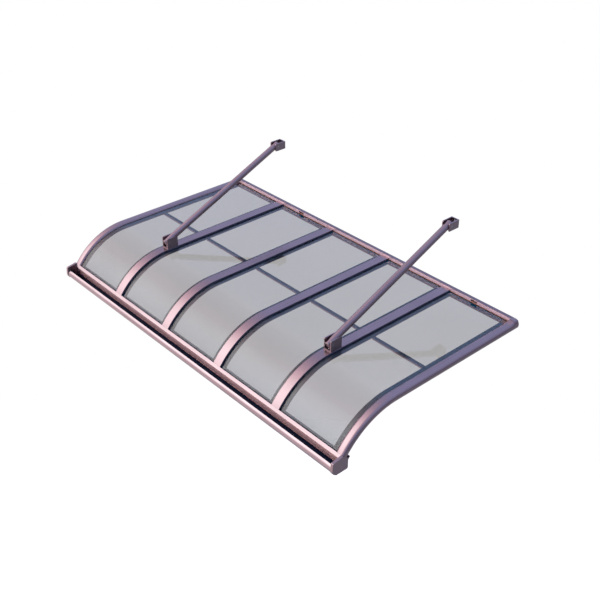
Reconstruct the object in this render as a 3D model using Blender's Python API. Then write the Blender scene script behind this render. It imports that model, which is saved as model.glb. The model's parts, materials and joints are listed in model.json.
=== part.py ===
# Door canopy with clear panels on curved aluminium ribs, tied back to the wall by two rods.
# Metres, +Z up. The origin is the centre of the wall rail's back face, on the wall:
# +X runs along the wall, +Y goes into the wall, so the canopy stands out towards -Y.

import math

import bmesh
import bpy
from mathutils import Matrix, Vector

# Clearance between pieces that touch
GAP = 0.0003

# Overall layout
BAY = 0.316
BAYS = 5
END_OVERHANG = 0.010
ROOF_RADIUS = 0.295
ROOF_ANGLE = math.radians(53.1)
ROOF_TOP = 0.01325
ARC_CENTRE_Y = -0.6216
ARC_STEPS = 14

# Layers, as depths below the ribs' top face
CAP_THICK = 0.004
GASKET_THICK = 0.003
PANEL_THICK = 0.004
LEDGE_THICK = 0.003

# Ribs
RIB_WIDTH = 0.0374
CAP_EDGE_RADIUS = 0.0012
GASKET_INSET = 0.0015
LEDGE_REACH = 0.018
BEAM_WEB_GAP = 0.030
BEAM_WALL = 0.0025
BEAM_DEPTH = 0.027
SPINE_WIDTH = 0.008
PANEL_TO_SPINE = 0.0025

# End ribs
END_RIB_DEPTH = 0.029
END_RIB_TOP_RADIUS = 0.0125
END_RIB_FLAT = 0.0005
END_RIB_LOW_RADIUS = END_RIB_DEPTH - END_RIB_TOP_RADIUS - END_RIB_FLAT
END_RIB_WALL = 0.0025
END_SLOT_DEPTH = 0.010
PANEL_IN_SLOT = 0.0085

# Purlins
PURLIN_WIDTH = 0.015
PURLIN_HEIGHT = 0.008
PURLIN_Y = -0.4375
PURLIN_RADIUS = 0.0015

# Wall rail
RAIL_WALL = 0.003
RAIL_DEPTH = 0.014
RAIL_UPSTAND = 0.0085
RAIL_DROP = 0.035
RAIL_FOOT = 0.012
RAIL_LEDGE_REACH = 0.0186
PANEL_IN_RAIL = 0.006
CORNER_LENGTH = 0.026
CORNER_EDGE = 0.002
RAIL_WINDOW_WIDTH = 0.028
RAIL_WINDOWS_X = (-1.07 * BAY, 1.915 * BAY)
RAIL_SCREW_HEAD = 0.0115
RAIL_SCREW_HEAD_THICK = 0.004
RAIL_SCREW_SHANK = 0.008
SCREW_CLEARANCE = 0.0005

# Front gutter, its section beside the ribs' front ends
FLANGE_WIDTH = 0.0123
GUTTER_WALL = 0.0025
GUTTER_SLOT = 0.009
PANEL_IN_GUTTER = 0.007
GUTTER_LEDGE_REACH = 0.008
GUTTER_BROW = (0.006, -0.005)
GUTTER_WALL_FOOT = (0.017, -0.045)
GUTTER_FLOOR_WIDTH = 0.037
LIP_RADIUS = 0.0191
LIP_OFFSET = (-0.0185, -0.0255)
LIP_STEPS = 14
LIP_START = 250.0
LIP_END = 123.0

# Gutter end caps
GUTTER_CAP_THICK = 0.010
GUTTER_CAP_MARGIN = 0.0015
GUTTER_CAP_REAR = 0.012
GUTTER_CAP_TAB = 0.007
GUTTER_CAP_PEAK = (-0.0363, 0.0038)
GUTTER_CAP_PEAK_RADIUS = 0.003
GUTTER_CAP_HEEL_RADIUS = 0.006

# Brackets, rods and pins
ROD_RIBS = (1, 4)
BRACKET_WIDTH = 0.035
BRACKET_PLATE = 0.0042
BRACKET_CORNER = 0.003
RIB_BRACKET_LENGTH = 0.050
RIB_BRACKET_HEIGHT = 0.044
RIB_BRACKET_Y = -0.598
RIB_PIVOT_Y = -0.6132
RIB_PIVOT_RISE = 0.0255
WALL_BRACKET_REACH = 0.052
WALL_BRACKET_HEIGHT = 0.032
WALL_BRACKET_RISE = 0.2553
WALL_PIVOT_Y = -0.038
WALL_PIVOT_RISE = 0.2738
ROD_RADIUS = 0.013
ROD_WALL = 0.002
ROD_SEGMENTS = 32
ROD_TAIL = 0.009
PLUG_HEAD = 0.003
PLUG_SPIGOT = 0.004
PIN_RADIUS = 0.004
PIN_SEGMENTS = 20
PIN_CLEARANCE = 0.0004
BASE_SCREW_PITCH = 0.030
BASE_SCREW_HEAD = 0.0042
BASE_SCREW_HEAD_THICK = 0.0024
BASE_SCREW_HOLE = 0.0025
WALL_HOLE_PITCH = 0.016
WALL_HOLE_RADIUS = 0.003

# Values that follow from those above
PANEL_TOP = CAP_THICK + GASKET_THICK + 2 * GAP
LEDGE_TOP = PANEL_TOP + PANEL_THICK + GAP
ARC_CENTRE_Z = ROOF_TOP - ROOF_RADIUS
HALF_LENGTH = BAY * BAYS / 2
OUTER_X = HALF_LENGTH + END_OVERHANG
END_RIB_INNER = OUTER_X - RIB_WIDTH
END_PANEL_EDGE = END_RIB_INNER + PANEL_IN_SLOT
RAIL_BACK = -RAIL_WALL
RAIL_FRONT = -RAIL_DEPTH
RAIL_LEDGE_FRONT = RAIL_FRONT - RAIL_LEDGE_REACH
ROD_START = Vector((0, RIB_PIVOT_Y, ROOF_TOP + RIB_PIVOT_RISE))
ROD_END = Vector((0, WALL_PIVOT_Y, ROOF_TOP + WALL_PIVOT_RISE))
ROD_LENGTH = (ROD_END - ROD_START).length
ROD_TILT = math.atan2(ROD_END.z - ROD_START.z, ROD_END.y - ROD_START.y)

MATERIALS = {}


def clear_scene():
    for obj in list(bpy.data.objects):
        bpy.data.objects.remove(obj, do_unlink=True)


# Materials

def make_material(name, colour, roughness, metallic=0.0, transmission=0.0):
    mat = bpy.data.materials.new(name)
    mat.use_nodes = True
    shader = mat.node_tree.nodes["Principled BSDF"]
    shader.inputs["Base Color"].default_value = (*colour, 1.0)
    shader.inputs["Roughness"].default_value = roughness
    shader.inputs["Metallic"].default_value = metallic
    shader.inputs["Transmission Weight"].default_value = transmission
    MATERIALS[name] = mat


def make_materials():
    make_material("anodised", (0.36, 0.29, 0.35), 0.35, metallic=1.0)
    make_material("smoked_sheet", (0.48, 0.49, 0.51), 0.05, transmission=0.9)
    make_material("rubber", (0.012, 0.012, 0.016), 0.7)
    make_material("steel", (0.55, 0.55, 0.57), 0.3, metallic=1.0)


# Outlines

def rounded(corners, steps=4):
    """Polygon through (u, v, radius) corners, each turned with an arc of its radius."""
    points = []
    count = len(corners)
    for i, (u, v, radius) in enumerate(corners):
        here = Vector((u, v))
        if radius <= 0:
            points.append((u, v))
            continue
        before = (Vector(corners[i - 1][:2]) - here).normalized()
        after = (Vector(corners[(i + 1) % count][:2]) - here).normalized()
        half = before.angle(after) / 2
        centre = here + (before + after).normalized() * (radius / math.sin(half))
        start = here + before * (radius / math.tan(half)) - centre
        turn = start.angle_signed(here + after * (radius / math.tan(half)) - centre)
        for k in range(steps + 1):
            spoke = start.copy()
            spoke.rotate(Matrix.Rotation(-turn * k / steps, 2))
            points.append(tuple(centre + spoke))
    return points


def arc_points(centre, radius, first, last, steps):
    """Points on a circle between two angles in degrees."""
    angles = [math.radians(first + (last - first) * k / steps) for k in range(steps + 1)]
    return [(centre[0] + radius * math.cos(a), centre[1] + radius * math.sin(a)) for a in angles]


def at_front(along, depth):
    """(y, z) at a distance along the roof line and a depth below it, from the ribs' front end."""
    y = ARC_CENTRE_Y - ROOF_RADIUS * math.sin(ROOF_ANGLE)
    z = ARC_CENTRE_Z + ROOF_RADIUS * math.cos(ROOF_ANGLE)
    y += along * math.cos(ROOF_ANGLE) + depth * math.sin(ROOF_ANGLE)
    z += along * math.sin(ROOF_ANGLE) - depth * math.cos(ROOF_ANGLE)
    return (y, z)


# Mesh building

def add_loops(bm, loops, place):
    """Edges of closed loops, each point put in space by place(u, v)."""
    edges = []
    for loop in loops:
        verts = [bm.verts.new(place(u, v)) for u, v in loop]
        edges += [bm.edges.new((verts[i - 1], verts[i])) for i in range(len(verts))]
    return edges


def extrude_edges(bm, edges, offset):
    result = bmesh.ops.extrude_edge_only(bm, edges=edges)["geom"]
    verts = [g for g in result if isinstance(g, bmesh.types.BMVert)]
    bmesh.ops.translate(bm, verts=verts, vec=offset)
    return [g for g in result if isinstance(g, bmesh.types.BMEdge)]


def close_end(bm, edges):
    bmesh.ops.triangle_fill(bm, edges=edges, use_beauty=True)


def finish(name, bm, material, smooth_angle=None):
    bmesh.ops.recalc_face_normals(bm, faces=bm.faces)
    mesh = bpy.data.meshes.new(name)
    bm.to_mesh(mesh)
    bm.free()
    obj = bpy.data.objects.new(name, mesh)
    bpy.context.scene.collection.objects.link(obj)
    if material:
        mesh.materials.append(MATERIALS[material])
    if smooth_angle:
        mesh.shade_smooth()
        mesh.set_sharp_from_angle(angle=math.radians(smooth_angle))
    return obj


def extrusion(name, outline, start, end, place, direction, material, smooth=None):
    """A straight profile: the outline at start, drawn out along direction to end."""
    bm = bmesh.new()
    first = add_loops(bm, [outline], lambda u, v: Vector(place(u, v)) + direction * start)
    last = extrude_edges(bm, first, direction * (end - start))
    close_end(bm, first)
    close_end(bm, last)
    return finish(name, bm, material, smooth)


def along_x(name, outline, x0, x1, material, smooth=None):
    """A profile with a (y, z) outline that runs along the wall."""
    return extrusion(name, outline, x0, x1, lambda y, z: (0, y, z), Vector((1, 0, 0)), material, smooth)


def roof_sweep(name, loops, centre_x, front, rear_y, material, smooth=35):
    """A section of (x, depth) loops, straight from rear_y forward and then bent round the front.

    front is how far the section stops short of the ribs' front end, along the roof line."""
    bm = bmesh.new()
    rear = add_loops(bm, loops, lambda x, depth: (centre_x + x, rear_y, ROOF_TOP - depth))
    bend = extrude_edges(bm, rear, Vector((0, ARC_CENTRE_Y - rear_y, 0)))
    angle = ROOF_ANGLE - front / ROOF_RADIUS
    verts = list({v for e in bend for v in e.verts})
    spun = bmesh.ops.spin(bm, geom=bend + verts, cent=(0, ARC_CENTRE_Y, ARC_CENTRE_Z),
                          axis=(1, 0, 0), angle=angle, steps=ARC_STEPS, use_duplicate=False)
    tip = [g for g in spun["geom_last"] if isinstance(g, bmesh.types.BMEdge)]
    close_end(bm, rear)
    close_end(bm, tip)
    return finish(name, bm, material, smooth)


def cylinder(name, radius, start, end, material, segments=PIN_SEGMENTS):
    """A round bar between two points."""
    bm = bmesh.new()
    axis = Vector(end) - Vector(start)
    turn = axis.to_track_quat("Z", "Y").to_matrix().to_4x4()
    bmesh.ops.create_cone(bm, cap_ends=True, segments=segments, radius1=radius, radius2=radius,
                          depth=axis.length, matrix=Matrix.Translation((Vector(start) + Vector(end)) / 2) @ turn)
    return finish(name, bm, material, 40)


def turned(name, profile, segments, material, location, tilt):
    """A solid of revolution from (radius, y) points, tilted about X by so many degrees."""
    bm = bmesh.new()
    verts = [bm.verts.new((r, y, 0)) for r, y in profile]
    edges = [bm.edges.new(pair) for pair in zip(verts, verts[1:])]
    bmesh.ops.spin(bm, geom=verts + edges, cent=(0, 0, 0), axis=(0, 1, 0), angle=math.tau,
                   steps=segments, use_merge=True)
    bmesh.ops.remove_doubles(bm, verts=bm.verts, dist=1e-6)
    obj = finish(name, bm, material, 30)
    obj.location = location
    obj.rotation_euler = (math.radians(tilt), 0, 0)
    return obj


def screw_profile(head, thick, shank, length):
    """(radius, y) points of a pan-head screw with its head towards -Y and its seat at y = 0."""
    return [(0, -thick), (head * 0.6, -thick), (head, -thick * 0.5), (head, 0), (shank, 0),
            (shank, length), (0, length)]


def cut(target, cutter):
    """Takes the cutter's volume out of the target; the cutter itself isn't part of the canopy."""
    cutter.hide_render = True
    cutter.display_type = "WIRE"
    cutter.parent = target.parent
    modifier = target.modifiers.new(cutter.name, "BOOLEAN")
    modifier.operation = "DIFFERENCE"
    modifier.solver = "EXACT"
    modifier.object = cutter


def join(target, other):
    """Adds the other solid's volume to the target."""
    cut(target, other)
    target.modifiers[-1].operation = "UNION"


def rib_x(index):
    return BAY * index - HALF_LENGTH


# Ribs between the panels: a beam below, a gasket and a cap strip above

def rib_cap(index):
    half = RIB_WIDTH / 2
    section = rounded([(-half, 0, CAP_EDGE_RADIUS), (half, 0, CAP_EDGE_RADIUS),
                       (half, CAP_THICK, 0), (-half, CAP_THICK, 0)], steps=3)
    roof_sweep(f"rib_cap_{index}", [section], rib_x(index), GAP, RAIL_FRONT - GAP, "anodised")


def rib_gasket(index):
    half = RIB_WIDTH / 2 - GASKET_INSET
    top = CAP_THICK + GAP
    section = [(-half, top), (half, top), (half, top + GASKET_THICK), (-half, top + GASKET_THICK)]
    roof_sweep(f"rib_gasket_{index}", [section], rib_x(index), GAP, RAIL_FRONT - GAP, "rubber")


def rib_beam(index):
    spine = SPINE_WIDTH / 2
    wing = RIB_WIDTH / 2 + LEDGE_REACH
    outer = BEAM_WEB_GAP / 2
    inner = outer - BEAM_WALL
    low = LEDGE_TOP + LEDGE_THICK
    right = [(spine, PANEL_TOP), (spine, LEDGE_TOP), (wing, LEDGE_TOP), (wing, low),
             (outer, low), (outer, BEAM_DEPTH), (inner, BEAM_DEPTH), (inner, low)]
    left = [(-x, depth) for x, depth in reversed(right)]
    roof_sweep(f"rib_beam_{index}", [right + left], rib_x(index), GUTTER_LEDGE_REACH + 2 * GAP,
               RAIL_LEDGE_FRONT - GAP, "anodised")


# End ribs: round-shouldered hollow profiles that hold the outer panels in a slot

def end_rib_round():
    """(x, depth) down the end rib's rounded outer side."""
    return rounded([(RIB_WIDTH - 1.5 * END_RIB_TOP_RADIUS, 0, 0), (RIB_WIDTH, 0, END_RIB_TOP_RADIUS),
                    (RIB_WIDTH, END_RIB_DEPTH, END_RIB_LOW_RADIUS), (0, END_RIB_DEPTH, 0)], steps=5)[1:-1]


def end_rib_outline():
    """(x, depth) from the inner face at x = 0 to the outer face, with slot and ledge."""
    radius = END_RIB_TOP_RADIUS
    lip_angle = math.degrees(math.asin((radius - PANEL_TOP + GAP) / radius))
    shoulder = [(x, -d) for x, d in arc_points((radius, -radius), radius, 90, 180 - lip_angle, 5)]
    low = LEDGE_TOP + LEDGE_THICK
    ledge = [(0, low), (-LEDGE_REACH, low), (-LEDGE_REACH, LEDGE_TOP), (END_SLOT_DEPTH, LEDGE_TOP),
             (END_SLOT_DEPTH, PANEL_TOP - GAP)]
    return end_rib_round() + [(0, END_RIB_DEPTH)] + ledge + shoulder[::-1]


def end_rib_hollow():
    wall = END_RIB_WALL
    side = END_SLOT_DEPTH + wall
    low = LEDGE_TOP + LEDGE_THICK
    return rounded([(side, wall, 0), (RIB_WIDTH - wall, wall, END_RIB_TOP_RADIUS - wall),
                    (RIB_WIDTH - wall, END_RIB_DEPTH - wall, END_RIB_LOW_RADIUS - wall),
                    (wall, END_RIB_DEPTH - wall, 0), (wall, low, 0), (side, low, 0)], steps=5)


def end_rib(side, name):
    loops = [[(side * x, depth) for x, depth in loop] for loop in (end_rib_outline(), end_rib_hollow())]
    roof_sweep(name, loops, side * END_RIB_INNER, GAP, RAIL_FRONT - CORNER_LENGTH - GAP, "anodised")


# Panels and the purlins that carry them at mid depth

def panel(index):
    inset = SPINE_WIDTH / 2 + PANEL_TO_SPINE
    left = -END_PANEL_EDGE if index == 1 else rib_x(index - 1) + inset
    right = END_PANEL_EDGE if index == BAYS else rib_x(index) - inset
    section = [(left, PANEL_TOP), (right, PANEL_TOP), (right, PANEL_TOP + PANEL_THICK),
               (left, PANEL_TOP + PANEL_THICK)]
    roof_sweep(f"panel_{index}", [section], 0, -PANEL_IN_GUTTER, RAIL_FRONT + PANEL_IN_RAIL, "smoked_sheet")


def purlin(index):
    wing = RIB_WIDTH / 2 + LEDGE_REACH + GAP
    end = END_RIB_INNER - LEDGE_REACH - GAP
    left = -end if index == 1 else rib_x(index - 1) + wing
    right = end if index == BAYS else rib_x(index) - wing
    top = ROOF_TOP - LEDGE_TOP
    y0 = PURLIN_Y - PURLIN_WIDTH / 2
    y1 = PURLIN_Y + PURLIN_WIDTH / 2
    outline = rounded([(y0, top, PURLIN_RADIUS), (y1, top, PURLIN_RADIUS),
                       (y1, top - PURLIN_HEIGHT, PURLIN_RADIUS),
                       (y0, top - PURLIN_HEIGHT, PURLIN_RADIUS)], steps=2)
    along_x(f"purlin_{index}", outline, left, right, "anodised", 40)


# Wall rail, with windows in its upstand where the wall screws go in

def rail_outline():
    top = ROOF_TOP + RAIL_UPSTAND
    lip = ROOF_TOP - CAP_THICK - GAP
    ledge = ROOF_TOP - LEDGE_TOP
    foot = ROOF_TOP - RAIL_DROP
    wall = RAIL_WALL
    return [(0, top), (RAIL_FRONT, top), (RAIL_FRONT, lip), (RAIL_FRONT + wall, lip),
            (RAIL_FRONT + wall, top - wall), (RAIL_BACK, top - wall), (RAIL_BACK, ledge),
            (RAIL_LEDGE_FRONT, ledge), (RAIL_LEDGE_FRONT, ledge - LEDGE_THICK),
            (RAIL_BACK, ledge - LEDGE_THICK), (RAIL_BACK, foot + wall), (-RAIL_FOOT, foot + wall),
            (-RAIL_FOOT, foot), (0, foot)]


def wall_rail():
    end = END_PANEL_EDGE
    rail = along_x("wall_rail", rail_outline(), -end, end, "anodised")
    ledge = ROOF_TOP - LEDGE_TOP
    for side in (-1, 1):
        clear = END_RIB_INNER - LEDGE_REACH - GAP
        y0 = RAIL_LEDGE_FRONT - LEDGE_THICK
        y1 = RAIL_FRONT - GAP / 2
        box = [(y0, ledge + GAP), (y1, ledge + GAP), (y1, ledge - 2 * LEDGE_THICK), (y0, ledge - 2 * LEDGE_THICK)]
        x0, x1 = sorted((side * clear, side * (OUTER_X + GAP)))
        cut(rail, along_x(f"ledge_end_cutter_{side}", box, x0, x1, None))
    for number, x in enumerate(RAIL_WINDOWS_X, 1):
        top = ROOF_TOP + RAIL_UPSTAND - RAIL_WALL - GAP
        low = ROOF_TOP - 2 * CAP_THICK
        y1 = RAIL_FRONT + RAIL_WALL * 1.5
        window = [(RAIL_FRONT - GAP, top), (y1, top), (y1, low), (RAIL_FRONT - GAP, low)]
        cut(rail, along_x(f"window_cutter_{number}", window, x - RAIL_WINDOW_WIDTH / 2,
                          x + RAIL_WINDOW_WIDTH / 2, None))
        z = rail_screw_z()
        cut(rail, cylinder(f"rail_hole_cutter_{number}", RAIL_SCREW_SHANK / 2 + SCREW_CLEARANCE,
                           (x, RAIL_BACK - RAIL_WALL / 2, z), (x, RAIL_WALL, z), None))
        rail_screw(number, x, z)


def rail_screw_z():
    return ROOF_TOP + (RAIL_UPSTAND - RAIL_WALL - PANEL_TOP) / 2


def rail_screw(number, x, z):
    """Pan head inside the rail's channel, with its shank through the back plate."""
    profile = screw_profile(RAIL_SCREW_HEAD / 2, RAIL_SCREW_HEAD_THICK, RAIL_SCREW_SHANK / 2, RAIL_WALL)
    turned(f"rail_screw_{number}", profile, PIN_SEGMENTS, "steel", (x, RAIL_BACK - GAP, z), 0)


def raised(x, depth):
    """A corner piece's outline point, lifted from the end rib's height to the rail's."""
    lift = RAIL_UPSTAND * max(0, 1 - depth / END_RIB_TOP_RADIUS)
    in_slot = x <= END_SLOT_DEPTH and depth > CAP_THICK
    return (x, depth if in_slot else depth - lift)


def corner_piece(side, name):
    """Carries the end rib's section up to the rail and closes the rail's end beside it."""
    middle = RAIL_FRONT - GAP
    bm = bmesh.new()
    outline = end_rib_outline()
    front = add_loops(bm, [outline], lambda x, d: corner_point(side, x, d, middle - CORNER_LENGTH))
    rear = extrude_edges(bm, front, Vector((0, CORNER_LENGTH, 0)))
    for vert in {v for e in rear for v in e.verts}:
        x = abs(vert.co.x) - END_RIB_INNER
        vert.co = corner_point(side, *raised(x, ROOF_TOP - vert.co.z), middle)
    close_end(bm, front)
    close_end(bm, rear)
    piece = finish(name, bm, "anodised", 35)
    inner = END_PANEL_EDGE + GAP - END_RIB_INNER
    block = [raised(x, d) for x, d in end_rib_round()]
    block = [(inner, -RAIL_UPSTAND), *block, (inner, END_RIB_DEPTH)]
    bm = bmesh.new()
    front = add_loops(bm, [block], lambda x, d: corner_point(side, x, d, middle - RAIL_DEPTH / 2))
    rear = extrude_edges(bm, front, Vector((0, -middle + RAIL_DEPTH / 2, 0)))
    close_end(bm, front)
    close_end(bm, rear)
    edges = [e for e in rear if min(abs(v.co.x) for v in e.verts) > END_RIB_INNER + inner + GAP]
    bmesh.ops.bevel(bm, geom=edges, offset=CORNER_EDGE, segments=3, profile=0.5, affect="EDGES")
    join(piece, finish(f"corner_block_{side}", bm, "anodised", 35))


def corner_point(side, x, depth, y):
    return (side * (END_RIB_INNER + x), y, ROOF_TOP - depth)


def rear_gasket():
    top = ROOF_TOP - CAP_THICK - 2 * GAP
    y0 = RAIL_FRONT
    y1 = RAIL_FRONT + PANEL_IN_RAIL
    low = ROOF_TOP - PANEL_TOP + GAP
    outline = [(y0, top), (y1, top), (y1, low), (y0, low)]
    along_x("rear_gasket", outline, -END_RIB_INNER + GAP, END_RIB_INNER - GAP, "rubber")


# Front gutter

def gutter_points():
    """Named corners of the gutter's section in (y, z)."""
    brow = at_front(-FLANGE_WIDTH, 0)
    lip = (brow[0] + LIP_OFFSET[0], brow[1] + LIP_OFFSET[1])
    foot = (brow[0] + GUTTER_WALL_FOOT[0], brow[1] + GUTTER_WALL_FOOT[1])
    return brow, lip, foot


def gutter_outline():
    brow, lip, foot = gutter_points()
    wall = GUTTER_WALL
    lean = Vector((GUTTER_WALL_FOOT[0] - GUTTER_BROW[0], GUTTER_WALL_FOOT[1] - GUTTER_BROW[1])).normalized()
    back = Vector((-lean.y, lean.x)) * wall
    under = LEDGE_TOP + wall
    join = meet_ledge(foot, lean, back, under)
    curl_in = arc_points(lip, LIP_RADIUS - wall, LIP_START, LIP_END, LIP_STEPS)
    curl_out = arc_points(lip, LIP_RADIUS, LIP_END, LIP_START, LIP_STEPS)
    return [at_front(0, 0), brow, (brow[0] + GUTTER_BROW[0], brow[1] + GUTTER_BROW[1]), foot,
            (foot[0] - GUTTER_FLOOR_WIDTH, foot[1]), *curl_in, *curl_out,
            (foot[0] - GUTTER_FLOOR_WIDTH - wall / 2, foot[1] - wall), (foot[0] + back[0], foot[1] - wall),
            join, at_front(GUTTER_LEDGE_REACH, under), at_front(GUTTER_LEDGE_REACH, LEDGE_TOP),
            at_front(-GUTTER_SLOT, LEDGE_TOP), at_front(-GUTTER_SLOT, CAP_THICK), at_front(0, CAP_THICK)]


def meet_ledge(foot, lean, back, under):
    """Where the back of the gutter's wall runs into the underside of its ledge."""
    start = Vector(foot) + back
    edge = Vector(at_front(0, under))
    run = Vector((math.cos(ROOF_ANGLE), math.sin(ROOF_ANGLE)))
    gap = edge - start
    t = (gap.x * run.y - gap.y * run.x) / (lean.x * run.y - lean.y * run.x)
    return tuple(start + lean * t)


def front_gutter():
    end = HALF_LENGTH - GAP / 2
    gutter = along_x("front_gutter", gutter_outline(), -end, end, "anodised", 30)
    clear = END_RIB_INNER - LEDGE_REACH - GAP
    reach = GUTTER_LEDGE_REACH + LEDGE_THICK
    box = [at_front(GAP / 2, CAP_THICK + GASKET_THICK), at_front(reach, CAP_THICK + GASKET_THICK),
           at_front(reach, LEDGE_TOP + 2 * LEDGE_THICK), at_front(GAP / 2, LEDGE_TOP + 2 * LEDGE_THICK)]
    for side in (-1, 1):
        x0, x1 = sorted((side * clear, side * OUTER_X))
        cut(gutter, along_x(f"gutter_end_cutter_{side}", box, x0, x1, None))


def gutter_cap_outline():
    """Outline that closes the trough's end: a level top, a round nose and a tab up behind the end rib."""
    brow, lip, foot = gutter_points()
    margin = GUTTER_CAP_MARGIN
    nose = arc_points(lip, LIP_RADIUS + margin, 170, 226, 6)
    low = foot[1] - GUTTER_WALL - margin
    rear = foot[0] + GUTTER_CAP_REAR
    peak = (brow[0] + GUTTER_CAP_PEAK[0], brow[1] + GUTTER_CAP_PEAK[1], GUTTER_CAP_PEAK_RADIUS)
    heel = (foot[0] - GUTTER_FLOOR_WIDTH - GUTTER_WALL / 2 - GAP, low, GUTTER_CAP_HEEL_RADIUS)
    back = [(rear - 2 * margin, low), (rear, low + 2 * margin), (rear, brow[1] - 2 * GUTTER_CAP_TAB),
            at_front(GUTTER_CAP_TAB, END_RIB_DEPTH + 2 * margin),
            at_front(GUTTER_CAP_TAB, END_RIB_DEPTH + GAP), at_front(0, END_RIB_DEPTH + GAP)]
    return rounded([(*at_front(0, -margin), 0), peak, *[(*point, 0) for point in nose], heel,
                    *[(*point, 0) for point in back]])


def gutter_end_cap(side, name):
    x0, x1 = sorted((side * (HALF_LENGTH + GAP / 2), side * (HALF_LENGTH + GUTTER_CAP_THICK)))
    along_x(name, gutter_cap_outline(), x0, x1, "anodised")


def front_gasket():
    top = CAP_THICK + GAP
    low = PANEL_TOP - GAP
    outline = [at_front(-PANEL_IN_GUTTER, top), at_front(-GAP, top), at_front(-GAP, low),
               at_front(-PANEL_IN_GUTTER, low)]
    along_x("front_gasket", outline, -END_RIB_INNER + GAP, END_RIB_INNER - GAP, "rubber")


# Tie rods, their brackets and pins

def pivot_hole(target, name, pivot, reach):
    start = (pivot[0] - reach, pivot[1], pivot[2])
    end = (pivot[0] + reach, pivot[1], pivot[2])
    cut(target, cylinder(name, PIN_RADIUS + PIN_CLEARANCE, start, end, None))


def round_plate_corners(obj, picks):
    """Rounds the edges across the side plates that picks(edge centre) names."""
    bm = bmesh.new()
    bm.from_mesh(obj.data)
    edges = [e for e in bm.edges if is_crosswise(e) and picks(sum((v.co for v in e.verts), Vector()) / 2)]
    bmesh.ops.bevel(bm, geom=edges, offset=BRACKET_CORNER, segments=3, profile=0.5, affect="EDGES")
    bm.to_mesh(obj.data)
    bm.free()


def is_crosswise(edge):
    a, b = (v.co for v in edge.verts)
    return abs(a.y - b.y) < 1e-6 and abs(a.z - b.z) < 1e-6


def rib_bracket(x, side):
    """U-shaped bracket, open upwards, screwed down on the rib's cap."""
    half = BRACKET_WIDTH / 2
    inner = half - BRACKET_PLATE
    base = ROOF_TOP + GAP
    top = ROOF_TOP + RIB_BRACKET_HEIGHT
    outline = [(x - half, top), (x - inner, top), (x - inner, base + BRACKET_PLATE),
               (x + inner, base + BRACKET_PLATE), (x + inner, top), (x + half, top),
               (x + half, base), (x - half, base)]
    y0 = RIB_BRACKET_Y - RIB_BRACKET_LENGTH / 2
    bracket = extrusion(f"rib_bracket_{side}", outline, y0, y0 + RIB_BRACKET_LENGTH,
                        lambda u, z: (u, 0, z), Vector((0, 1, 0)), "anodised")
    round_plate_corners(bracket, lambda c: c.z > top - 1e-5)
    pivot_hole(bracket, f"rib_bore_cutter_{side}", (x, ROD_START.y, ROD_START.z), BRACKET_WIDTH)
    for number, step in enumerate((-0.5, 0.5), 1):
        y = RIB_BRACKET_Y + step * BASE_SCREW_PITCH
        hole = BASE_SCREW_HOLE + PIN_CLEARANCE
        cut(bracket, cylinder(f"base_hole_cutter_{side}_{number}", hole, (x, y, base - BRACKET_PLATE),
                              (x, y, base + 2 * BRACKET_PLATE), None, 16))
        profile = screw_profile(BASE_SCREW_HEAD, BASE_SCREW_HEAD_THICK, BASE_SCREW_HOLE, BRACKET_PLATE)
        seat = base + BRACKET_PLATE + GAP
        turned(f"bracket_screw_{side}_{number}", profile, PIN_SEGMENTS, "steel", (x, y, seat), -90)


def wall_bracket(x, side):
    """U-shaped bracket, open to the front, with its origin on the upper pin."""
    half = BRACKET_WIDTH / 2
    inner = half - BRACKET_PLATE
    back = -ROD_END.y
    front = back - WALL_BRACKET_REACH
    seat = back - BRACKET_PLATE
    outline = [(-half, front), (-inner, front), (-inner, seat), (inner, seat), (inner, front),
               (half, front), (half, back), (-half, back)]
    z0 = WALL_BRACKET_RISE - WALL_PIVOT_RISE
    bracket = extrusion(f"wall_bracket_{side}", outline, z0, z0 + WALL_BRACKET_HEIGHT,
                        lambda u, y: (u, y, 0), Vector((0, 0, 1)), "anodised")
    round_plate_corners(bracket, lambda c: c.y < front + 1e-5)
    pivot = bpy.data.objects.new(f"upper_pivot_{side}", None)
    pivot.location = (x, ROD_END.y, ROD_END.z)
    bpy.context.scene.collection.objects.link(pivot)
    bracket.parent = pivot
    pivot_hole(bracket, f"wall_bore_cutter_{side}", (0, 0, 0), BRACKET_WIDTH)
    middle = z0 + WALL_BRACKET_HEIGHT / 2
    for number, step in enumerate((-0.5, 0.5), 1):
        z = middle + step * WALL_HOLE_PITCH
        cut(bracket, cylinder(f"wall_hole_cutter_{side}_{number}", WALL_HOLE_RADIUS,
                              (0, seat - BRACKET_PLATE, z), (0, back + BRACKET_PLATE, z), None, 16))
    pin = pivot_pin(f"upper_pin_{side}")
    pin.parent = pivot


def pivot_pin(name):
    half = BRACKET_WIDTH / 2
    return cylinder(name, PIN_RADIUS, (-half, 0, 0), (half, 0, 0), "steel")


def rod_plug(name, end, turn):
    """Domed plug in an open end of the rod's tube."""
    bore = ROD_RADIUS - ROD_WALL - GAP
    profile = [(0, -PLUG_SPIGOT), (bore, -PLUG_SPIGOT), (bore, GAP), (ROD_RADIUS, GAP),
               (ROD_RADIUS * 0.92, PLUG_HEAD * 0.6), (ROD_RADIUS * 0.6, PLUG_HEAD), (0, PLUG_HEAD)]
    return turned(name, profile, ROD_SEGMENTS, "anodised", (0, end, 0), turn)


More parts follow.
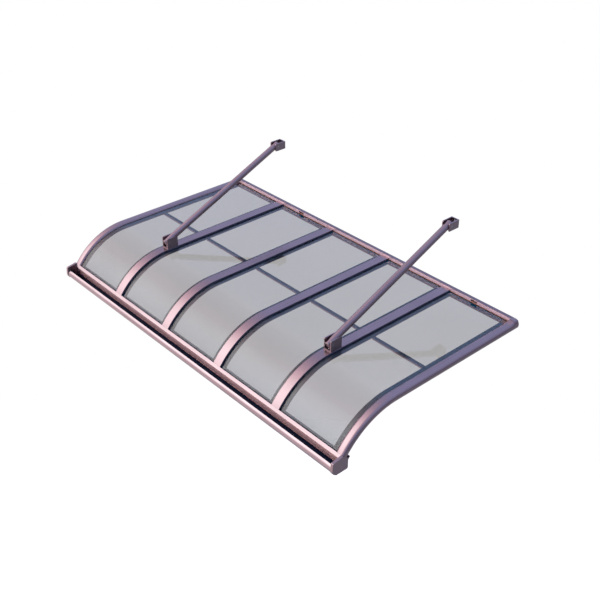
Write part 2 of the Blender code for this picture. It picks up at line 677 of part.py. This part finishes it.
def tie_rod(x, side):
    """Tube with its origin on the lower pin, tilted up to the wall bracket's pin."""
    pivot = bpy.data.objects.new(f"lower_pivot_{side}", None)
    pivot.location = (x, ROD_START.y, ROD_START.z)
    pivot.rotation_euler = (ROD_TILT, 0, 0)
    bpy.context.scene.collection.objects.link(pivot)
    rings = [arc_points((0, 0), r, 0, 360 - 360 / ROD_SEGMENTS, ROD_SEGMENTS - 1)
             for r in (ROD_RADIUS, ROD_RADIUS - ROD_WALL)]
    bm = bmesh.new()
    first = add_loops(bm, rings, lambda u, v: (u, -ROD_TAIL, v))
    last = extrude_edges(bm, first, Vector((0, ROD_LENGTH + 2 * ROD_TAIL, 0)))
    close_end(bm, first)
    close_end(bm, last)
    rod = finish(f"tie_rod_{side}", bm, "anodised", 40)
    rod.parent = pivot
    pivot_hole(rod, f"rod_bore_cutter_low_{side}", (0, 0, 0), BRACKET_WIDTH)
    pivot_hole(rod, f"rod_bore_cutter_high_{side}", (0, ROD_LENGTH, 0), BRACKET_WIDTH)
    rod_plug(f"rod_plug_{side}_low", -ROD_TAIL, 180).parent = pivot
    rod_plug(f"rod_plug_{side}_high", ROD_LENGTH + ROD_TAIL, 0).parent = pivot
    pin = pivot_pin(f"lower_pin_{side}")
    pin.location = pivot.location


def main():
    clear_scene()
    make_materials()
    wall_rail()
    rear_gasket()
    front_gutter()
    front_gasket()
    for side, word in ((-1, "left"), (1, "right")):
        end_rib(side, f"end_rib_{word}")
        corner_piece(side, f"corner_piece_{word}")
        gutter_end_cap(side, f"gutter_end_cap_{word}")
    for index in range(1, BAYS):
        rib_beam(index)
        rib_gasket(index)
        rib_cap(index)
    for index in range(1, BAYS + 1):
        panel(index)
        purlin(index)
    for index, word in zip(ROD_RIBS, ("left", "right")):
        x = rib_x(index)
        rib_bracket(x, word)
        tie_rod(x, word)
        wall_bracket(x, word)


main()
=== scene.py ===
# Looks of the door canopy: the solids' own surfaces, truly round where the roof bends, and their
# materials, with a pale floor, a soft studio light and the photo's camera.

import json
import math

import bmesh
import bpy
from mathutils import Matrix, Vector

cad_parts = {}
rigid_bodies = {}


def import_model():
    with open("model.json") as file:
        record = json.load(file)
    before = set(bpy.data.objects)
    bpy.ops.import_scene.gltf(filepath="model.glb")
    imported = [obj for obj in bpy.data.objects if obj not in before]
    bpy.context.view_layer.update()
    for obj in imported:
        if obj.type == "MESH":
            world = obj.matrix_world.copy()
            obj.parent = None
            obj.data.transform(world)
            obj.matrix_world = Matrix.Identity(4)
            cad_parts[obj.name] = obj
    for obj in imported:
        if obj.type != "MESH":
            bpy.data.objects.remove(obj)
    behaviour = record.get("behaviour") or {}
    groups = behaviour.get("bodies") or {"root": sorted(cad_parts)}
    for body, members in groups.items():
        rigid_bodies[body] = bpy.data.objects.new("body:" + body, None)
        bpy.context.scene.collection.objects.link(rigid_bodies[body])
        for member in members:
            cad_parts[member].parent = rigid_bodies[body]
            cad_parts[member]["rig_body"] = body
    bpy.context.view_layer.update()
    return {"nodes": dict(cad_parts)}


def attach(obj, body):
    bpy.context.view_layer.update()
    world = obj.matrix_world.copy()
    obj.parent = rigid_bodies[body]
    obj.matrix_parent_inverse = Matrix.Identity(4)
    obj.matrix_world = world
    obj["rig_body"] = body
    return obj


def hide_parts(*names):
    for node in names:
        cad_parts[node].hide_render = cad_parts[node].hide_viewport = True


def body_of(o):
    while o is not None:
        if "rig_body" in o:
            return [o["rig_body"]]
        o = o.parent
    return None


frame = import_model()
nodes = frame["nodes"]


# Camera

CAMERA_AT = Vector((2.3659, -2.4329, 1.8780))
AZIMUTH = math.radians(48.286)
ELEVATION = math.radians(32.43)
LENS = 57.03
SENSOR_WIDTH = 36
CLIP_END = 100


def make_camera():
    camera = bpy.data.cameras.new("camera")
    camera.lens = LENS
    camera.sensor_width = SENSOR_WIDTH
    camera.clip_end = CLIP_END
    obj = bpy.data.objects.new("camera", camera)
    bpy.context.scene.collection.objects.link(obj)
    level = math.cos(ELEVATION)
    look = Vector((-math.sin(AZIMUTH) * level, math.cos(AZIMUTH) * level, -math.sin(ELEVATION)))
    obj.location = CAMERA_AT
    obj.rotation_euler = look.to_track_quat("-Z", "Y").to_euler()
    bpy.context.scene.camera = obj


# Node helpers

EVEN = (1, 1, 1)
LOOKS_UP = (0.2, 0.3)

# Where a Mix node keeps its colour sockets
MIX_A, MIX_B, MIX_RESULT = 6, 7, 2


class Graph:
    """A material's node tree, with short calls that add a node and link its inputs."""

    def __init__(self, name):
        self.material = bpy.data.materials.new(name)
        self.material.use_nodes = True
        self.tree = self.material.node_tree
        self.shader = self.tree.nodes["Principled BSDF"]

    def add(self, kind, settings=(), **inputs):
        node = self.tree.nodes.new(kind)
        for key, value in dict(settings).items():
            setattr(node, key, value)
        for key, value in inputs.items():
            self.put(node.inputs[key.replace("_", " ")], value)
        return node

    def put(self, socket, value):
        if isinstance(value, bpy.types.NodeSocket):
            self.tree.links.new(value, socket)
        else:
            socket.default_value = value

    def set(self, **inputs):
        for key, value in inputs.items():
            self.put(self.shader.inputs[key.replace("_", " ")], value)

    def current(self, name):
        """The socket that feeds one of the shader's inputs so far."""
        return self.shader.inputs[name].links[0].from_socket

    def position(self, stretch=EVEN):
        place = self.add("ShaderNodeTexCoord").outputs["Object"]
        if stretch == EVEN:
            return place
        return self.add("ShaderNodeMapping", Vector=place, Scale=stretch).outputs["Vector"]

    def along(self, axis):
        return self.add("ShaderNodeSeparateXYZ", Vector=self.position()).outputs[axis]

    def normal(self, axis):
        normal = self.add("ShaderNodeNewGeometry").outputs["Normal"]
        return self.add("ShaderNodeSeparateXYZ", Vector=normal).outputs[axis]

    def noise(self, scale, detail=3, roughness=0.5, vector=None):
        node = self.add("ShaderNodeTexNoise", Scale=scale, Detail=detail, Roughness=roughness)
        self.put(node.inputs["Vector"], vector or self.position())
        return node.outputs["Fac"]

    def math(self, operation, *values):
        node = self.add("ShaderNodeMath", {"operation": operation})
        for socket, value in zip(node.inputs, values):
            self.put(socket, value)
        return node.outputs[0]

    def under(self, value, limit):
        return self.math("LESS_THAN", value, limit)

    def over(self, value, limit):
        return self.math("GREATER_THAN", value, limit)

    def every(self, *masks):
        """The product of masks."""
        whole = masks[0]
        for mask in masks[1:]:
            whole = self.math("MULTIPLY", whole, mask)
        return whole

    def spread(self, value, low, high, start=0.3, end=0.7):
        """Goes from low to high, numbers or sockets, while the value goes from start to end."""
        node = self.add("ShaderNodeMapRange", Value=value)
        node.inputs["From Min"].default_value = start
        node.inputs["From Max"].default_value = end
        self.put(node.inputs["To Min"], low)
        self.put(node.inputs["To Max"], high)
        return node.outputs["Result"]

    def facing_up(self):
        """A mask of the faces that look up."""
        return self.spread(self.normal("Z"), 0, 1, *LOOKS_UP)

    def mix(self, factor, a, b):
        node = self.add("ShaderNodeMix", {"data_type": "RGBA"})
        self.put(node.inputs[0], factor)
        self.put(node.inputs[MIX_A], a)
        self.put(node.inputs[MIX_B], b)
        return node.outputs[MIX_RESULT]

    def coat(self, mask, colour, roughness):
        """A matt colour over part of the surface, its colour a socket or an RGBA tuple; the painted sky
        reflections are laid on with it.
        """
        self.set(Base_Color=self.mix(mask, self.current("Base Color"), colour),
                 Metallic=self.math("SUBTRACT", 1.0, mask),
                 Roughness=self.spread(mask, self.current("Roughness"), roughness, 0, 1))

    def bump(self, height, strength, distance):
        node = self.add("ShaderNodeBump", Height=height, Strength=strength, Distance=distance)
        self.put(self.shader.inputs["Normal"], node.outputs["Normal"])


# Surfaces

BENT = ("rib_cap", "rib_gasket", "rib_beam", "end_rib", "panel")
STRAIGHT = ("wall_rail", "front_gasket", "rear_gasket")
BEND_CENTRE = Vector((0, -0.6216, -0.28175))
BEND_LIMIT = math.radians(60)
BEND_REFINE = 4
SAME_ANGLE = math.radians(0.1)
FLAT_ANGLE = math.radians(0.5)
SHARP_ANGLE = math.radians(34)
WELD = 1e-5
CUT_DISTANCE = WELD / 10


def bend_angle(point):
    """How far round the roof's bend a point lies, from 0 where the flat roof ends."""
    spoke = point - BEND_CENTRE
    return math.atan2(-spoke.y, spoke.z)


def bend_stations(bm):
    """The angles at which a mesh has points round the bend."""
    stations = []
    for angle in sorted(bend_angle(vert.co) for vert in bm.verts):
        fresh = not stations or angle - stations[-1] > SAME_ANGLE
        if fresh and -SAME_ANGLE < angle < BEND_LIMIT:
            stations.append(angle)
    return stations


def round_bend(bm):
    """Cuts each flat step of the bend into finer ones and brings their points out to the true arc."""
    stations = bend_stations(bm)
    for low, high in zip(stations, stations[1:]):
        for k in range(1, BEND_REFINE):
            angle = low + (high - low) * k / BEND_REFINE
            onward = Vector((0, -math.cos(angle), -math.sin(angle)))
            bmesh.ops.bisect_plane(bm, geom=bm.verts[:] + bm.edges[:] + bm.faces[:],
                                   dist=CUT_DISTANCE, plane_co=BEND_CENTRE, plane_no=onward)
        middle, half = (low + high) / 2, (high - low) / 2
        for vert in bm.verts:
            angle = bend_angle(vert.co)
            if low < angle < high:
                grow = math.cos(angle - middle) / math.cos(half)
                vert.co.yz = BEND_CENTRE.yz + (vert.co - BEND_CENTRE).yz * grow


def surface(name, solid, material):
    """Makes the piece that is seen in a solid's place: its mesh, welded, smooth and round."""
    mesh = bpy.data.meshes.new(f"{name}_surface")
    points = [vert.co for vert in solid.data.vertices]
    mesh.from_pydata(points, [], [list(face.vertices) for face in solid.data.polygons])
    bm = bmesh.new()
    bm.from_mesh(mesh)
    bmesh.ops.remove_doubles(bm, verts=bm.verts, dist=WELD)
    bmesh.ops.dissolve_limit(bm, angle_limit=FLAT_ANGLE, verts=bm.verts, edges=bm.edges)
    if name.startswith(BENT):
        round_bend(bm)
    bm.to_mesh(mesh)
    bm.free()
    mesh.shade_smooth()
    mesh.set_sharp_from_angle(angle=SHARP_ANGLE)
    mesh.materials.append(material)
    piece = bpy.data.objects.new(f"{name}_surface", mesh)
    bpy.context.scene.collection.objects.link(piece)
    piece.modifiers.new("flat faces stay flat", "WEIGHTED_NORMAL").keep_sharp = True
    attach(piece, body_of(solid)[0])
    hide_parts(name)


# Anodised metal

METAL = (0.340, 0.270, 0.290)
RAIL = (0.255, 0.200, 0.215)
GUTTER = (0.380, 0.322, 0.342)
SATIN = 0.27
CAST = 0.33
RUNS_X = (0.02, 1, 1)
RUNS_Y = (1, 0.02, 1)
DIE_LINES = 420
LINE_STRENGTH = 0.06
LINE_DEPTH = 0.0004
SMOOTHER = 0.03
ROUGHER = 0.04
DRIFT = 0.10
DRIFT_SCALE = 7
DRIFT_RANGE = (0.25, 0.75)


def anodised_graph(name, stretch, colour=METAL, roughness=SATIN):
    """Anodised extrusion: die lines along its run, a fine grain and a slow drift of tone."""
    g = Graph(name)
    lines = g.noise(DIE_LINES, detail=2, vector=g.position(stretch))
    cloud = g.noise(DRIFT_SCALE, detail=2)
    light = tuple(c * (1 + DRIFT) for c in colour) + (1,)
    deep = tuple(c * (1 - DRIFT) for c in colour) + (1,)
    g.set(Base_Color=g.mix(g.spread(cloud, *DRIFT_RANGE), deep, light), Metallic=1.0,
          Roughness=g.spread(lines, roughness - SMOOTHER, roughness + ROUGHER))
    g.bump(lines, LINE_STRENGTH, LINE_DEPTH)
    return g


def anodised(name, stretch, **look):
    return anodised_graph(name, stretch, **look).material


# Painted sky reflection: the blue of the sky seen in the sheets over their dark ledges, laid on those
# ledges as a colour, bluer where the sheets lie flat and paler round the bend

PAINTED_REFLECTION_ROUGHNESS = 0.5
BEAM_PAINTED_REFLECTION = (0.07, 0.20, 0.38, 1)
END_PAINTED_REFLECTION = (0.05, 0.24, 0.48, 1)
BEND_PAINTED_REFLECTION = (0.38, 0.46, 0.56, 1)
PURLIN_PAINTED_REFLECTION = (0.21, 0.34, 0.57, 1)
RAIL_PAINTED_REFLECTION = (0.01, 0.44, 0.95, 1)
GUTTER_PAINTED_REFLECTION = (0.02, 0.34, 0.74, 1)
PAINTED_REFLECTION_BEND_Y = (-0.72, -0.61)


# The painted sky reflection on a rib's ledge, paler round the bend
def painted_reflection_on_rib(g, flat):
    return g.mix(g.spread(g.along("Y"), 1, 0, *PAINTED_REFLECTION_BEND_Y), flat, BEND_PAINTED_REFLECTION)


END_LEDGE_REACH = 0.7622


def end_rib_metal():
    """An end rib, with a painted sky reflection on the ledge that carries the sheet."""
    g = anodised_graph("anodised_end_rib", RUNS_Y)
    inside = g.under(g.math("ABSOLUTE", g.along("X")), END_LEDGE_REACH)
    g.coat(g.every(g.facing_up(), inside), painted_reflection_on_rib(g, END_PAINTED_REFLECTION), PAINTED_REFLECTION_ROUGHNESS)
    return g.material


def beam_metal():
    """A rib's beam, with a painted sky reflection on its top where the sheets rest."""
    g = anodised_graph("anodised_beam", RUNS_Y)
    g.coat(g.facing_up(), painted_reflection_on_rib(g, BEAM_PAINTED_REFLECTION), PAINTED_REFLECTION_ROUGHNESS)
    return g.material


def purlin_metal():
    """A purlin, with a painted sky reflection on top as the beams have."""
    g = anodised_graph("anodised_purlin", RUNS_X)
    g.coat(g.facing_up(), PURLIN_PAINTED_REFLECTION, PAINTED_REFLECTION_ROUGHNESS)
    return g.material


# The wall rail's ledge and lip

LEDGE_FRONT_Y = -0.0142
LEDGE_TOP_Z = 0.0050
LIP_FACE_Y = -0.0138
LIP_LOW_Z = 0.0070
LIP_HIGH_Z = 0.0210
# Painted warm light: the lip's front face is lighter, pinker and less metallic, as it looks lit from
# the front left
LIP_PAINTED_LIGHT = (0.80, 0.59, 0.63, 1)
LIP_METALLIC = 0.25


def rail_metal():
    """The wall rail: a painted sky reflection on its ledge and painted warm light on its front lip."""
    g = anodised_graph("anodised_wall_rail", RUNS_X, colour=RAIL)
    y, z = g.along("Y"), g.along("Z")
    ledge = g.every(g.facing_up(), g.under(y, LEDGE_FRONT_Y), g.under(z, LEDGE_TOP_Z))
    g.coat(ledge, RAIL_PAINTED_REFLECTION, PAINTED_REFLECTION_ROUGHNESS)
    lip = g.every(g.under(y, LIP_FACE_Y), g.over(z, LIP_LOW_Z), g.under(z, LIP_HIGH_Z))
    kept = g.spread(lip, 1, LIP_METALLIC, 0, 1)
    g.set(Base_Color=g.mix(lip, g.current("Base Color"), LIP_PAINTED_LIGHT),
          Metallic=g.math("MULTIPLY", g.current("Metallic"), kept))
    return g.material


# The gutter's leaning back wall, its trough and its ledge

WALL_FOOT_Y = -0.8479
WALL_FOOT_Z = -0.1595
WALL_LEAN = 0.275
WALL_TOP_Z = -0.1180
WALL_SKIN = (0.0004, 0.0008)
# Painted light: the back wall is coloured warm brown and matt, as it looks lit by the warm side over
# the gutter's lip
WALL_PAINTED_LIGHT = ((0.86, 0.53, 0.47, 1), (0.95, 0.60, 0.54, 1))
TROUGH_START = (0.0005, 0.0010)
TROUGH_HEIGHT = (-0.1575, -0.1450)
# Painted shade: the trough's floor and lower walls, dark where the lip shades them
TROUGH_PAINTED_SHADE = (0.020, 0.045, 0.110, 1)
UNDERSIDE_Z = -0.1606
NOSE_Y = -0.9004
NOT_DOWN = (-0.35, -0.25)
NOT_FRONT = (-0.5, -0.4)
SLOT_Y = -0.8490
SLOT_Z = -0.1200
STREAK_SCALE = 30
STREAK_RUN = (1, 0.1, 0.1)


def gutter_metal():
    """The gutter: painted warm light on its matt back wall, painted shade in its trough, and a painted
    sky reflection on its ledge.
    """
    g = anodised_graph("anodised_gutter", RUNS_X, colour=GUTTER)
    y, z = g.along("Y"), g.along("Z")
    lean = g.math("MULTIPLY", g.math("SUBTRACT", z, WALL_FOOT_Z), WALL_LEAN)
    ahead = g.math("SUBTRACT", g.math("SUBTRACT", WALL_FOOT_Y, y), lean)
    off_underside = g.over(z, UNDERSIDE_Z)
    on_wall = g.spread(g.math("ABSOLUTE", ahead), 1, 0, *WALL_SKIN)
    wall = g.every(on_wall, g.under(z, WALL_TOP_Z), off_underside)
    low = g.every(g.spread(z, 1, 0, *TROUGH_HEIGHT), off_underside)
    between = g.every(g.spread(ahead, 0, 1, *TROUGH_START), g.over(y, NOSE_Y))
    inner = g.every(g.spread(g.normal("Z"), 0, 1, *NOT_DOWN),
                    g.spread(g.normal("Y"), 0, 1, *NOT_FRONT))
    trough = g.every(between, low, inner)
    g.coat(g.every(g.facing_up(), g.over(y, SLOT_Y), g.over(z, SLOT_Z)), GUTTER_PAINTED_REFLECTION, PAINTED_REFLECTION_ROUGHNESS)
    # The painted warm light on the back wall, streaked, and the painted shade in the trough over it
    streaks = g.noise(STREAK_SCALE, vector=g.position(STREAK_RUN))
    painted_wall_light = g.mix(g.spread(streaks, 0, 1), *WALL_PAINTED_LIGHT)
    base = g.mix(wall, g.current("Base Color"), painted_wall_light)
    g.set(Base_Color=g.mix(trough, base, TROUGH_PAINTED_SHADE),
          Metallic=g.math("MULTIPLY", g.current("Metallic"), g.math("SUBTRACT", 1.0, wall)))
    return g.material


# Sheets, rubber and steel

SHEET_FLAT = ((0.448, 0.444, 0.442, 1), (0.464, 0.460, 0.458, 1))
# Painted shade: darker and a little bluer round the front bend, set against the bend's brighter
# reflection
SHEET_BEND_PAINTED_SHADE = ((0.272, 0.286, 0.315, 1), (0.286, 0.300, 0.329, 1))
SHEET_BEND_Y = (-0.85, -0.64)
SHEET_DRIFT_SCALE = 3
SHEET_GLOSS = (0.012, 0.026)
SHEET_GLOSS_SCALE = 14
SHEET_IOR = 1.52
SEAL = ((0.120, 0.150, 0.250, 1), (0.150, 0.185, 0.300, 1))
REAR_SEAL = ((0.42, 0.215, 0.160, 1), (0.50, 0.260, 0.200, 1))
RUBBER_GRAIN = 900
RUBBER_GLOSS = (0.55, 0.75)
RUBBER_STRENGTH = 0.2
RUBBER_DEPTH = 0.0003
STEEL = ((0.42, 0.41, 0.43, 1), (0.52, 0.51, 0.53, 1))
STEEL_GRAIN = 650
STEEL_GLOSS = (0.24, 0.36)
STEEL_STRENGTH = 0.05
STEEL_DEPTH = 0.0002


def smoked_sheet():
    """Clear smoked sheet: darker round the front bend as painted shade against its brighter reflection
    there, its gloss barely uneven.
    """
    g = Graph("smoked_sheet_clear")
    drift = g.spread(g.noise(SHEET_DRIFT_SCALE, detail=1), 0, 1)
    front = g.spread(g.along("Y"), 1, 0, *SHEET_BEND_Y)
    g.set(Base_Color=g.mix(front, g.mix(drift, *SHEET_FLAT), g.mix(drift, *SHEET_BEND_PAINTED_SHADE)),
          Roughness=g.spread(g.noise(SHEET_GLOSS_SCALE), *SHEET_GLOSS),
          IOR=SHEET_IOR, Transmission_Weight=1.0)
    return g.material


def rubber(name, tones):
    g = Graph(name)
    grain = g.noise(RUBBER_GRAIN)
    g.set(Base_Color=g.mix(grain, *tones), Roughness=g.spread(grain, *RUBBER_GLOSS))
    g.bump(grain, RUBBER_STRENGTH, RUBBER_DEPTH)
    return g.material


def steel():
    g = Graph("stainless")
    turned = g.noise(STEEL_GRAIN)
    g.set(Base_Color=g.mix(turned, *STEEL), Metallic=1.0,
          Roughness=g.spread(turned, *STEEL_GLOSS))
    g.bump(turned, STEEL_STRENGTH, STEEL_DEPTH)
    return g.material


def dress():
    """Gives each solid the first material here whose words are in its name."""
    fastener = steel()
    cast = anodised("anodised_caps", EVEN, roughness=CAST)
    looks = {
        "panel": smoked_sheet(),
        "rear_gasket": rubber("rear_seal_rubber", REAR_SEAL),
        "gasket": rubber("seal_rubber", SEAL),
        "screw": fastener,
        "_pin_": fastener,
        "front_gutter": gutter_metal(),
        "wall_rail": rail_metal(),
        "purlin": purlin_metal(),
        "rib_beam": beam_metal(),
        "end_rib": end_rib_metal(),
        "gutter_end_cap": cast,
        "corner_piece": cast,
        "rod_plug": cast,
        "bracket": cast,
        "": anodised("anodised_along_y", RUNS_Y),
    }
    for name, obj in nodes.items():
        material = next(look for words, look in looks.items() if words in name)
        if name in STRAIGHT:
            obj.material_slots[0].material = material
        else:
            surface(name, obj, material)


# Floor

FLOOR_AT = (0, -0.4, -2.2)
FLOOR_RADIUS = 2.6
FLOOR_SIDES = 96
FADE_START = 0.4 * FLOOR_RADIUS
PAPER = ((0.31, 0.31, 0.31, 1), (0.33, 0.33, 0.33, 1))
PAPER_ROUGHNESS = 0.9
PAPER_GRAIN = 60
PAPER_GLOW = 0.85
PAPER_MIRRORED = 0.3


def make_floor():
    """A round pale floor far below, white to the camera and with the canopy's shadow on it."""
    bpy.ops.mesh.primitive_circle_add(vertices=FLOOR_SIDES, radius=FLOOR_RADIUS,
                                      fill_type="NGON", location=FLOOR_AT)
    floor = bpy.context.object
    floor.name = "floor"
    g = Graph("floor_paper")
    g.set(Base_Color=g.mix(g.noise(PAPER_GRAIN), *PAPER), Roughness=PAPER_ROUGHNESS)
    middle = g.add("ShaderNodeVectorMath", {"operation": "LENGTH"}, Vector=g.position())
    g.set(Alpha=g.spread(middle.outputs["Value"], 1, 0, FADE_START, FLOOR_RADIUS))
    path = g.add("ShaderNodeLightPath").outputs
    seen = g.math("MAXIMUM", path["Is Camera Ray"], path["Is Transmission Ray"])
    mirrored = g.math("MULTIPLY", path["Is Glossy Ray"], PAPER_MIRRORED)
    share = g.math("MAXIMUM", seen, mirrored)
    g.set(Emission_Color=(1, 1, 1, 1), Emission_Strength=g.math("MULTIPLY", share, PAPER_GLOW))
    floor.data.materials.append(g.material)


# Light: dim and cool all round, darker below, with one broad warm side to the front left

WHITE = (1, 1, 1, 1)
UPWARD = (0, 0, 1)
TO_THE_RIGHT = (1, 0, 0)
FRONT_LEFT = (-0.7, -0.7, 0)
WARM_SIDE = Vector((-0.57, -0.62, 0.54)).normalized()
BACKDROP = Vector((-0.63, 0.562, -0.536)).normalized()
GLOW = ((0.34, (0.54, 0.61, 0.97)), (0.55, (0.63, 0.60, 0.84)), (0.74, (0.93, 0.76, 0.92)),
        (0.88, (1.75, 1.35, 1.45)), (0.97, (3.00, 2.75, 2.70)), (1.0, (3.40, 3.25, 3.25)))
GLOW_PEAK = 4.0
RIGHT = (0.19, 0.18, 0.25, 1)
BELOW = (0.31, 0.32, 0.39, 1)
BELOW_WARM = (1.10, 0.90, 0.92, 1)
AWAY_EDGE = (0.0, 0.5)
RIGHT_EDGE = (-0.15, 0.45)
RIGHT_HEIGHT = (0.1, 0.75)
RIGHT_ALOFT = 0.1
FRONT_LEFT_EDGE = (0.2, 0.8)
HORIZON = (-0.25, 0.20)
BACKDROP_EDGE = (0.80, 0.95)
DIRECT = 0.5


class World(Graph):
    """The world's node tree, with the calls that read a view's direction."""

    def __init__(self):
        self.world = bpy.data.worlds.new("studio")
        self.world.use_nodes = True
        self.tree = self.world.node_tree

    def facing(self, direction):
        """The cosine of the angle between the view and a direction."""
        dot = self.add("ShaderNodeVectorMath", {"operation": "DOT_PRODUCT"})
        self.put(dot.inputs[0], self.add("ShaderNodeTexCoord").outputs["Generated"])
        self.put(dot.inputs[1], tuple(direction))
        return dot.outputs["Value"]

    def ramp(self, value, stops):
        """A colour from a list of (value, colour) stops, which may be brighter than 1."""
        node = self.add("ShaderNodeValToRGB", Fac=value)
        elements = node.color_ramp.elements
        while len(elements) < len(stops):
            elements.new(1)
        for element, (at, colour) in zip(elements, stops):
            element.position = at
            element.color = tuple(c / GLOW_PEAK for c in colour) + (1,)
        scale = self.add("ShaderNodeVectorMath", {"operation": "SCALE"}, Vector=node.outputs["Color"])
        scale.inputs["Scale"].default_value = GLOW_PEAK
        return scale.outputs["Vector"]


def make_light():
    w = World()
    level = w.facing(UPWARD)
    away = w.spread(w.facing(WARM_SIDE), 1, 0, *AWAY_EDGE)
    right = w.every(away, w.spread(w.facing(TO_THE_RIGHT), 0, 1, *RIGHT_EDGE),
                    w.spread(level, 1, RIGHT_ALOFT, *RIGHT_HEIGHT))
    studio = w.mix(right, w.ramp(w.facing(WARM_SIDE), GLOW), RIGHT)
    front_left = w.spread(w.facing(FRONT_LEFT), 0, 1, *FRONT_LEFT_EDGE)
    below = w.mix(front_left, BELOW, BELOW_WARM)
    studio = w.mix(w.spread(level, 1, 0, *HORIZON), studio, below)
    path = w.add("ShaderNodeLightPath").outputs
    through = w.math("MULTIPLY", path["Is Transmission Ray"], w.under(path["Glossy Depth"], DIRECT))
    seen = w.math("MAXIMUM", path["Is Camera Ray"], through)
    backdrop = w.spread(w.facing(BACKDROP), 0, 1, *BACKDROP_EDGE)
    mirrored = w.math("MULTIPLY", path["Is Glossy Ray"], backdrop)
    background = w.tree.nodes["Background"].inputs
    w.put(background["Color"], w.mix(w.math("MAXIMUM", seen, mirrored), studio, WHITE))
    background["Strength"].default_value = 1.0
    bpy.context.scene.world = w.world


bpy.context.scene.view_settings.view_transform = "Standard"
make_camera()
dress()
make_floor()
make_light()
